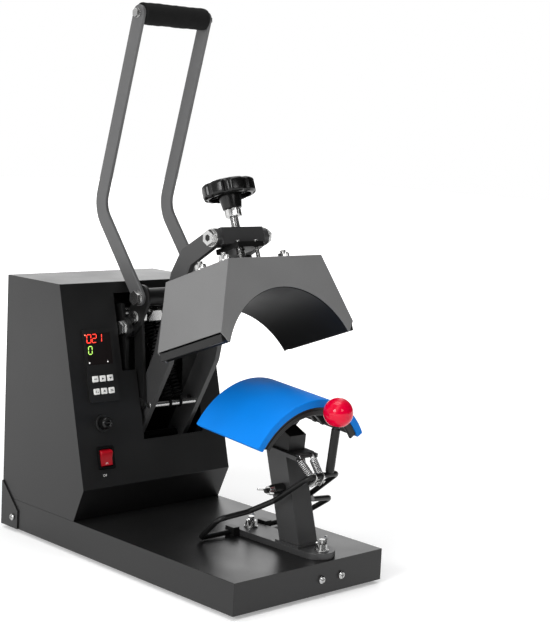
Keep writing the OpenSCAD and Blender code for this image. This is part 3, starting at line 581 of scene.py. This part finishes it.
springHook = {"radius": 0.8, "gap": 0.3, "play": 0.1, "rise": 0.5, "open": -230}  # a share of the coil, mm, degrees
returnSpring = {"low": (73, 188), "high": (134, 306), "sides": ((-9, -9), (9, 9)), "pin": 8, "turns": 24,
                "coil": 6, "wire": 2.4}
bailSpring = {"low": (-213, 138), "high": (-185.635, 164.253), "sides": ((-9.5, -13.5), (3.5, 10)), "pin": 4,
              "turns": 12, "coil": 4.2, "wire": 1.6}


# A tension spring along Z: a hook round the pin is part of a circle in the XZ plane, a quarter turn
# rises into the coil, (c cos a, c sin a, height in step with a), and the far end is the same, turned over
def springWire(length, spec, perTurn=24):
    coil, wire, pin, turns = (spec[k] for k in ("coil", "wire", "pin", "turns"))
    hook = max(springHook["radius"] * coil, (pin + wire) / 2 + springHook["gap"])
    slack = hook - (wire + pin) / 2 - springHook["play"]
    start = slack + hook + wire + springHook["rise"]
    a = np.radians(np.linspace(springHook["open"], 0, 33))[:-1]
    loop = np.c_[hook * np.cos(a), 0 * a, slack + hook * np.sin(a)]
    t = np.linspace(0, 1, 17)[:-1]
    r, b = hook + (coil - hook) * t, np.radians(90 * t * t)
    rise = np.c_[r * np.cos(b), r * np.sin(b), slack + (start - slack) * np.sin(np.radians(90 * t))]
    end = np.vstack([loop, rise])
    n = int(perTurn * (turns - 0.5))
    share = np.linspace(0, 1, n + 1)
    c = np.radians(90) + share * (turns - 0.5) * 2 * np.pi
    body = np.c_[coil * np.cos(c), coil * np.sin(c), start + (length - 2 * start) * share]
    far = end[::-1] * [1, -1, -1] + [0, 0, length]
    into = np.concatenate([np.zeros(len(loop)), t, np.ones(n + 1), t[::-1], np.zeros(len(loop))])[:, None]
    side = np.array([0.0, 1, 0]) * (1 - into) - np.array([0.0, 0, 1]) * into
    return np.vstack([end, body, far]), side


def addSprings(node, name, spec, slot):
    parts = []
    for low, high in spec["sides"]:
        a = np.array([pressX + low, *spec["low"]])
        run = np.array([pressX + high, *spec["high"]]) - a
        length = np.linalg.norm(run)
        z = run / length
        tilt, turn = math.acos(z[2]), math.atan2(z[1], z[0])
        x = np.array([math.cos(turn) * math.cos(tilt), math.sin(turn) * math.cos(tilt), -math.sin(tilt)])
        path, side = springWire(length, spec)
        axes = np.array([x, np.cross(z, x), z])
        parts.append(alongPath(a + path @ axes, side @ axes, spec["wire"] / 2, 10))
    newPiece(name, joined(parts), slot, node, 60, replaces=True)


addSprings("return_springs", "return_springs_wound", returnSpring, "dark_steel")
addSprings("bail_springs", "bail_springs_wound", bailSpring, "springWire")

bail = {
    "hinge": (-87, 50), "slope": 36.5, "wire": 7, "bend": 9,
    "half": ((23, 0), (82, 0), (98, 64), (55, 73), (31, 97), (25, 163)),
}


# A flat wire path: straight runs whose corners become arcs of the bend's radius, each arc swept from
# the end of one run to the start of the next in equal angles
def bentPath(corners, bend, steps=9):
    p = np.asarray(corners, float)
    into, out = np.diff(p, axis=0)[:-1], np.diff(p, axis=0)[1:]
    into, out = (v / np.linalg.norm(v, axis=1, keepdims=True) for v in (into, out))
    turn = np.arctan2(into[:, 0] * out[:, 1] - into[:, 1] * out[:, 0], np.sum(into * out, 1))
    start = p[1:-1] - bend * np.tan(np.abs(turn) / 2)[:, None] * into
    across = np.c_[-into[:, 1], into[:, 0]] * np.sign(turn)[:, None]
    a = np.abs(turn)[:, None, None] * np.linspace(0, 1, steps)[None, :, None]
    arcs = start[:, None] + bend * (np.sin(a) * into[:, None] + (1 - np.cos(a)) * across[:, None])
    return np.vstack([p[:1], arcs.reshape(-1, 2), p[-1:]])


def addBail(spec):
    half = np.array(spec["half"], float)
    flat = bentPath(np.vstack([half * [-1, -1], (half * [1, -1])[::-1]]), spec["bend"])
    place = leaning((pressX, *spec["hinge"]), -spec["slope"])
    path = carried(np.c_[flat, 0 * flat[:, 0]], place)
    wire = alongPath(path, place[1][2], spec["wire"] / 2, 20)
    newPiece("bail_wire", wire, "black_metal", "cap_bail", replaces=True)


addBail(bail)

# Lever and ball

lever = {
    "foot": (10, -218.03, 146.96), "lean": 7,
    "section": ((0, 2.6), (4.9, 2.6, 0.4), (5.5, 4.5, 0.5), (5.5, 58, 0.5), (4.2, 60, 0.5), (4.2, 64, 0.3), (0, 64)),
    "length": 64, "ball": 18.5, "sunk": 3, "seat": 0.81, "hole": 4.4,
}


def addLever(spec):
    x, y, z = spec["foot"]
    place = leaning((pressX + x, y, z), spec["lean"])
    rod = placed(lathe(rounded(spec["section"]), 40), place)
    newPiece("lever_rod", rod, "black_metal", "bail_lever", replaces=True)
    # the ball: rows of a half circle from its flat seat, with the rod's hole, up to the pole
    r, middle, hole = spec["ball"], spec["length"] + spec["ball"] - spec["sunk"], spec["hole"]
    low = -r * spec["seat"]
    up = np.linspace(math.asin(low / r), math.pi / 2, 40)
    rows = [(0, middle + low + spec["sunk"]), (hole, middle + low + spec["sunk"]), (hole, middle + low)]
    rows += list(zip(r * np.cos(up[:-1]), middle + r * np.sin(up[:-1]))) + [(0, middle + r)]
    newPiece("ball_knob", placed(lathe(rows, 72), place), "ball_red", "lever_ball", 50, replaces=True)


addLever(lever)
print("wires and lever")

# Pressure screw, guide studs and knob, in the heater's frame

screw = {"radius": 6, "pitch": 1.75, "low": 155, "high": 259, "nut": (-36, -26), "flats": 19, "hole": 5.5}
studs = {"radius": 3, "pitch": 1.0, "low": 152, "high": 185.4, "at": ((-15, -15), (-15, 15), (15, -15), (15, 15))}
plateNuts = {"at": ((-51, -24), (-51, 24), (51, -24), (51, 24)), "height": 157, "washer": (8, 1.5),
             "nut": (13, 7.5), "stud": (4, 1.25, 11)}  # radius or flats first; heights from the plate
knob = {
    "middle": 256.4, "lobes": 8, "depth": 3.0, "width": 0.13, "fade": (27.8, 5.0),
    "section": ((0, 13.4), (12, 13.4, 2), (17, 13.2, 1.5), (23.5, 10.6, 2), (35, 9.6, 5), (35, -9.6, 5),
                (28, -10, 1.2), (27.6, 1.6, 1.5), (16, 1.6, 1.5), (15, -9, 0.6), (12.4, -25.6, 0.8),
                (6.1, -25.8, 0.3), (6.1, -12), (0, -12)),  # heights from the middle
    "rib": (14.5, -0.9, 28, 0.9), "ribHeights": (-6, 1.8), "ribAngles": (22.5, 45),
}
threadForm = {"depth": 0.45, "root": 1.35, "flank": 2.7}  # the depth in pitches; over 1 the root is flat
hexForm = {"face": 0.97, "top": 0.98, "corner": 1.2, "edge": 1.04, "chamfer": 0.62}  # in half widths over flats


# A screw thread: the radius falls by the depth in a rounded saw of (height / pitch - angle / turn),
# and runs out to nothing at both ends
def thread(radius, pitch, low, high, sides=36, perPitch=7):
    depth = threadForm["depth"] * pitch
    rows = int((high - low) / pitch * perPitch)
    h = np.linspace(low, high, rows)[:, None]
    a = np.linspace(0, 2 * np.pi, sides, endpoint=False)[None, :]
    phase = (h / pitch - a / (2 * np.pi)) % 1.0
    fade = np.clip(np.minimum(h - low, high - h) / pitch, 0, 1)
    r = radius - depth * fade * np.clip(threadForm["root"] - threadForm["flank"] * np.abs(phase - 0.5), 0, 1)
    return np.stack([r * np.cos(a), r * np.sin(a), h + 0 * a], -1).reshape(-1, 3), tubeFaces(rows, sides)


# A nut or bolt head: the radius at an angle is that of a hexagon, and a cone takes its corners off
def hexShape(flats, low, high, hole=0.0):
    inner = flats / 2

    def radius(a, r, h):
        sixSided = inner / np.cos((a + np.pi / 6) % (np.pi / 3) - np.pi / 6)
        return np.where(r > inner * 1.05, sixSided, r + 0 * a)

    face, top, corner, edge, chamfer = (inner * hexForm[k] for k in ("face", "top", "corner", "edge", "chamfer"))
    drop = (2 / math.sqrt(3) - 1) * chamfer
    return lathe([(hole, low), (face, low), (corner, low + 0.01), (corner, high - drop), (edge, high - 0.12 * drop),
                  (top * hexForm["face"], high), (hole, high), (hole, low)], 72, radius)


def washer(radius, low, high):  # a turned disc with its rims rounded over
    return lathe(rounded([(0, low), (radius, low, 0.2), (radius, high, 0.4), (0, high)], 4), 48)


def addScrew(spec, middle):
    low, high = (middle + h for h in spec["nut"])
    parts = [thread(spec["radius"], spec["pitch"], spec["low"], spec["high"]),
             hexShape(spec["flats"], low, high, spec["hole"])]
    newPiece("pressure_screw_threaded", placed(joined(parts), heaterPlace), "zinc", "pressure_screw", replaces=True)


def addStuds(spec, nuts):
    parts = [(thread(spec["radius"], spec["pitch"], spec["low"], spec["high"], sides=18, perPitch=6), at)
             for at in spec["at"]]
    low, (wide, thick), (flats, top), (radius, pitch, end) = (nuts[k] for k in ("height", "washer", "nut", "stud"))
    for at in nuts["at"]:
        parts += [(washer(wide, low, low + thick), at), (hexShape(flats, low + thick, low + top), at),
                  (thread(radius, pitch, low, low + end, sides=24, perPitch=6), at)]
    moved = [(p + np.array([*at, 0.0]), f) for (p, f), at in parts]
    newPiece("guide_studs_threaded", placed(joined(moved), heaterPlace), "zinc", "guide_studs", replaces=True)


# The knob: a turned section whose rim draws in at each scallop, by a bell curve of the angle from it;
# the draw fades out between the rim and the hollow underneath
def addKnob(spec):
    m, lobes, (inner, over) = spec["middle"], spec["lobes"], spec["fade"]

    def lobed(a, r, h):
        spread = np.abs((a * lobes / (2 * np.pi) + 0.5) % 1.0 - 0.5) * 2 * np.pi / lobes
        bell = np.exp(-(spread / spec["width"]) ** 4)
        return r - spec["depth"] * bell * np.clip((r - inner) / over, 0, 1)

    section = rounded([(r, m + h, *fillet) for r, h, *fillet in spec["section"]], 7)
    body = placed(lathe(section, 192, lobed), heaterPlace)
    newPiece("knob_lobed", body, "black_plastic", "pressure_knob", 50, replaces=True)
    # shallow ribs that stiffen the hollow underneath
    first, step = spec["ribAngles"]
    low, high = (m + h for h in spec["ribHeights"])
    ribs = []
    for angle in np.radians(np.arange(first, 360, step)):
        c, s = math.cos(angle), math.sin(angle)
        ribs.append(prism(np.array(oblong(*spec["rib"])) @ [[c, s], [-s, c]], low, high))
    newPiece("knob_ribs", placed(joined(ribs), heaterPlace), "black_plastic", "pressure_knob")


addScrew(screw, knob["middle"])
addStuds(studs, plateNuts)
addKnob(knob)
print("screw, studs and knob")

# Foam grip

grip = {
    "at": (106, 706), "half": 53.5, "radius": 15, "tube": 10.2, "sunk": 0.4, "share": 0.8,
    "waves": ((0.22, 6.1, 0), (0.16, 2.3, 2), (0.14, 9, 3)),  # the size and length of each, and its turns
}


# The grip: a turned sleeve, whose radius swells and sinks a little along it and round it
def addGrip(spec):
    half, outer, tube = spec["half"], spec["radius"], spec["tube"]
    end = [(outer - 0.8, half - 0.6), (outer - 2.2, half)]
    wall = [(outer, h) for h in np.linspace(2.2 - half, half - 2.2, 90)]
    rows = [(tube, -half), *((r, -h) for r, h in end[::-1]), *wall, *end, (tube, half), (tube, -half)]

    def soft(a, r, h):
        wave = sum(size * np.sin(h / length + turns * a) for size, length, turns in spec["waves"])
        return r - np.where(r > outer - 0.1, spec["sunk"] - wave * spec["share"], 0.0)

    place = alongX(0, *spec["at"], 1)
    piece = newPiece("grip_sleeve", placed(lathe(rows, 64, soft), place), "foam", "handle_grip", 60, replaces=True)


addGrip(grip)

# Lower platen's pad

pad = {"inner": 95, "outer": 105, "half": 60, "depth": 116, "fillet": 1.8, "under": 0.6,
       "curve": 7, "flat": 12, "arc": 90}  # points on a rounded corner, steps on a flat side, rows round the arch


# The pad: a rounded oblong section, inner to outer radius by front to rear, carried round the arch's
# axis; at its two ends the section shrinks along a quarter circle, so that they are rounded as well
def addPad(spec):
    lo, hi, deep, f = spec["inner"], spec["outer"], spec["depth"] / 2, spec["fillet"]
    n, arc = spec["curve"], spec["arc"]
    p = np.array([(lo, -deep), (hi, -deep), (hi, deep), (lo, deep)])
    r = np.array([spec["under"], f, f, spec["under"]])[:, None]
    t = np.linspace(0, 1, n)[None, :, None]
    before, after = np.roll(p, 1, 0) - p, np.roll(p, -1, 0) - p
    a, b = (p + v / np.linalg.norm(v, axis=1, keepdims=True) * r for v in (before, after))
    corners = (1 - t) ** 2 * a[:, None] + 2 * t * (1 - t) * p[:, None] + t ** 2 * b[:, None]
    side = np.linspace(0, 1, spec["flat"] + 1)[1:-1, None]
    pieces = []
    for here, there in zip(corners, np.roll(corners, -1, 0)):  # a corner, and the flat side after it
        pieces += [here, here[-1] + (there[0] - here[-1]) * side]
    ring = np.vstack(pieces)
    limit, end = math.radians(spec["half"]), f / hi
    slide = np.linspace(0, np.pi / 2, n)
    turn, draw = end * (1 - np.cos(slide)), f * (1 - np.sin(slide))
    angle = np.concatenate([-limit + turn, np.linspace(-limit + end, limit - end, arc)[1:-1], (limit - turn)[::-1]])
    draw = np.concatenate([draw, np.zeros(arc - 2), draw[::-1]])[:, None]
    middle, thick = (lo + hi) / 2, (hi - lo) / 2
    radius = middle + (ring[None, :, 0] - middle) * (thick - draw) / thick
    y = ring[None, :, 1] * (deep - draw) / deep
    points = np.stack([radius * np.sin(angle)[:, None], y, radius * np.cos(angle)[:, None]], -1).reshape(-1, 3)
    part = placed((points, tubeFaces(len(angle), len(ring))), platenPlace)
    piece = newPiece("pad_moulded", part, "pad_blue", "platen_pad", 60, replaces=True)


addPad(pad)

flanges = {"inner": 84.5, "outer": 91.2, "half": 56, "edges": ((-57.2, -53.2), (53.2, 57.2)), "fillet": 1.0}


# A cast flange under each open edge of the plate: an arc of an oblong section, closed at both ends
def addFlanges(spec):
    a = np.radians(np.linspace(-spec["half"], spec["half"], 80))[:, None]
    low, high, f = spec["inner"], spec["outer"], spec["fillet"]
    parts = []
    for y0, y1 in spec["edges"]:
        ring = np.array([(low + f, y0), (high, y0), (high, y1), (low + f, y1), (low, y1 - f), (low, y0 + f)])
        points = np.stack([ring[None, :, 0] * np.sin(a), ring[None, :, 1] + 0 * a, ring[None, :, 0] * np.cos(a)], -1)
        parts.append((points.reshape(-1, 3), tubeFaces(len(a), len(ring))))
    newPiece("plate_flanges", placed(joined(parts), platenPlace), "black_metal", "platen_plate")


addFlanges(flanges)
print("grip, pad and plate")

# Controller: digits, lamps and prints, on the sloping front

display = {
    "centre": (-76.5, 110), "face": 3.7, "lift": 0.12,
    "red": ("021", -18.6, 30.6, 6.6, 10.8, 8.6),  # the digits, the first one's place and size, and the step
    "green": ("0", -18.0, 15.6, 5.8, 10.2, 7.0),
    "bars": {"0": "abcdef", "1": "bc", "2": "abged"}, "half": 0.51, "gap": 0.35, "lean": 0.1,
}
lamps = {  # the finish, places and height of each
    "lamp_heat": ("lampRed", [(-20.6, 41.0)], 4.0),
    "lamp_marks": ("lampWhite", [(-18.0, 4.2), (11.5, 4.2)], 3.9),
}
keyMarks = {
    "columns": (-12.5, -0.5, 11.5), "rows": (-17.5, -34), "heights": (5.55, 5.66),
    "shapes": (
        [oblong(-2.4, -0.5, 2.4, 0.5)],
        [[(-2.0, 1.2), (-2.0, -1.6), (1.8, -0.2)]],
        [[(-2.2, 1.0), (0, -1.8), (2.2, 1.0)]],
        [oblong(-2.4, -1.4, -1.2, 1.4), oblong(0.4, -1.4, 2.2, -0.4)],
        [[(-2.2, -1.0), (2.2, -1.0), (0, 1.8)]],
        [oblong(-2.2, -1.3, 2.2, -0.5), oblong(-2.2, 0.4, 2.2, 1.2)],
    ),
}


# One digit: each lit bar is a six-sided strip between two corners of the figure, leaning a little
def digitBars(mark, x, y, wide, tall, spec):
    w, h, t = wide, tall / 2, spec["half"]
    ends = {"a": ((0, 2 * h), (w, 2 * h)), "b": ((w, 2 * h), (w, h)), "c": ((w, h), (w, 0)), "d": ((0, 0), (w, 0)),
            "e": ((0, 0), (0, h)), "f": ((0, h), (0, 2 * h)), "g": ((0, h), (w, h))}
    out = []
    for bar in spec["bars"][mark]:
        p, q = (np.array(e, float) for e in ends[bar])
        run = (q - p) / np.linalg.norm(q - p)
        side = np.array([-run[1], run[0]])
        p, q = p + run * spec["gap"], q - run * spec["gap"]
        outline = np.array([p + (run - side) * t, q - (run + side) * t, q, q - (run - side) * t,
                            p + (run + side) * t, p])
        outline[:, 0] += outline[:, 1] * spec["lean"]
        out.append(outline + [x, y])
    return out


def addDisplay(spec, dots):
    place = onSlope(*spec["centre"])
    low, high = spec["face"], spec["face"] + spec["lift"]
    for key, slot in (("red", "digitRed"), ("green", "digitGreen")):
        text, x, y, wide, tall, step = spec[key]
        outlines = [bar for k, mark in enumerate(text) for bar in digitBars(mark, x + k * step, y, wide, tall, spec)]
        part = placed(joined([prism(o, low, high) for o in outlines]), place)
        newPiece("digits_" + key, part, slot, "display_window")
    for name, (slot, at, height) in dots.items():
        dome, faces = lathe(rounded([(0, height + 0.5), (0.8, height + 0.4, 0.3), (1.1, height - 0.3)], 4), 16)
        part = placed(joined([(dome + [x, y, 0], faces) for x, y in at]), place)
        newPiece(name, part, slot, "controller_case")


def addKeyMarks(spec, centre):  # small dark bars and arrows on the keys
    place = onSlope(*centre)
    for k, shapes in enumerate(spec["shapes"]):
        at = [spec["columns"][k % 3], spec["rows"][k // 3]]
        parts = [prism(np.array(o) + at, *spec["heights"]) for o in shapes]
        newPiece("key_mark_%d" % (k + 1), placed(joined(parts), place), "printDark", "key_%d" % (k + 1))


addDisplay(display, lamps)
addKeyMarks(keyMarks, display["centre"])

# Switch marks, fuse and inlet

switch = {  # for a ring its centre, height and radius, and the radius of its wire
    "at": (-84, 231), "pivot": -4, "tilt": 12, "rockerRing": (0, -6.6, 7.15, 1.5, 0.3),
    "panelRing": (-5.2, -22.5, 0.08, 1.4, 0.25), "panelBar": (-2.2, -24, -1.6, -21), "barHeights": (-0.05, 0.12),
}


# A ring: the circle (x + r cos a, y + r sin a) at one height, as a thin wire
def ringMark(x, y, height, radius, wire):
    a = np.linspace(0, 2 * np.pi, 33)
    rim = np.c_[x + radius * np.cos(a), y + radius * np.sin(a), height + 0 * a]
    return alongPath(rim, np.array([0.0, 0, 1]), wire, 8)


def addSwitchMarks(spec):  # a ring on the tipped rocker, and a ring and a bar on the panel under it
    origin, axes = panel = onSlope(*spec["at"])
    c, s = math.cos(math.radians(spec["tilt"])), math.sin(math.radians(spec["tilt"]))
    tipped = frameAt(origin + axes[2] * spec["pivot"], axes[0], c * axes[1] + s * axes[2], c * axes[2] - s * axes[1])
    newPiece("rocker_mark", placed(ringMark(*spec["rockerRing"]), tipped), "printLight", "switch_rocker")
    signs = [ringMark(*spec["panelRing"]), prism(oblong(*spec["panelBar"]), *spec["barHeights"])]
    newPiece("switch_signs", placed(joined(signs), panel), "printLight", "switch_bezel")


fuse = {
    "at": (-84, 186), "radius": 8, "ribs": 24, "depth": 0.25, "plain": 4.5,  # ribbed above that height
    "section": ((0, 1.3), (8, 1.3, 0.4), (8, 12.2, 1.0), (6.4, 15.0, 0.9), (4.8, 15.0, 0.5), (4.2, 14.2, 0.4),
                (0, 14.2)),
    # the slot is a thin dark bar on the cap's top: painted shade for the inside of the slot
    "slot": (-3.9, -0.7, 3.9, 0.7), "slotHeights": (14.1, 14.3),
}


# The fuse cap: a turned button with a ribbed grip, whose radius ripples round its wall, and a dark bar on its top,
# which is painted shade for the slot
def addFuseCap(spec):
    def ripple(a, r, h):
        wave = spec["depth"] * (1 + np.cos(spec["ribs"] * a))
        return r - wave * np.where((r > spec["radius"] - 0.05) & (h > spec["plain"]), 1.0, 0.0)

    place = onSlope(*spec["at"])
    cap = placed(lathe(rounded(spec["section"], 6), 144, ripple), place)
    newPiece("fuse_cap_turned", cap, "black_plastic", "fuse_cap", 40, replaces=True)
    slot = placed(prism(oblong(*spec["slot"]), *spec["slotHeights"]), place)
    newPiece("fuse_slot_shade", slot, "recessShade", "fuse_cap")


inlet = {"at": (-75, 242, 100), "pins": ((-7, -2), (7, -2), (0, 2.5)), "half": (1, 2), "depths": (-15.9, -2)}


def addInletPins(spec):  # three flat pins in the rear inlet
    (x, y, z), (w, h) = spec["at"], spec["half"]
    parts = [prism(oblong(px - w, pz - h, px + w, pz + h), *spec["depths"]) for px, pz in spec["pins"]]
    place = frameAt((x + trayX, y, z), (1, 0, 0), (0, 0, -1), (0, 1, 0))
    newPiece("inlet_pins", placed(joined(parts), place), "zinc", "power_inlet")


# flat dark hexagons on the bolt heads, painted shade that stands for hexagon sockets
socketShade = {"at": (44, -42, 424), "radius": 4.6, "heights": (7.3, 7.62)}


def addSocketShade(spec):  # thin dark hexagons on the crossbar's two bolt heads: painted shade for their sockets
    x, y, z = spec["at"]
    a = np.radians(np.arange(0, 360, 60))
    hole = prism(spec["radius"] * np.c_[np.cos(a), np.sin(a)], *spec["heights"])
    for side, name in ((-1, "left"), (1, "right")):
        newPiece("bolt_socket_" + name, placed(hole, alongX(side * x, y, z, side)), "recessShade", "arm_bolts")


addSocketShade(socketShade)
addSwitchMarks(switch)
addFuseCap(fuse)
addInletPins(inlet)

# Foot studs with threads

footStuds = {"at": (-221, -92), "deck": 45, "radius": 4, "pitch": 1.25, "top": 22,
             "head": (13, -7, -2), "washer": (9, 8, 9.5)}  # flats or radius first; heights from the deck


def addFootStuds(spec):
    deck, (flats, low, high), (wide, under, over) = (spec[k] for k in ("deck", "head", "washer"))
    shapes = [thread(spec["radius"], spec["pitch"], deck + high, deck + spec["top"]),
              hexShape(flats, deck + low, deck + high), washer(wide, deck + under, deck + over)]
    parts = [(p + [pressX, y, 0], f) for y in spec["at"] for p, f in shapes]
    newPiece("foot_studs_threaded", joined(parts), "zinc", "foot_studs", replaces=True)


addFootStuds(footStuds)
print("controls and small parts")
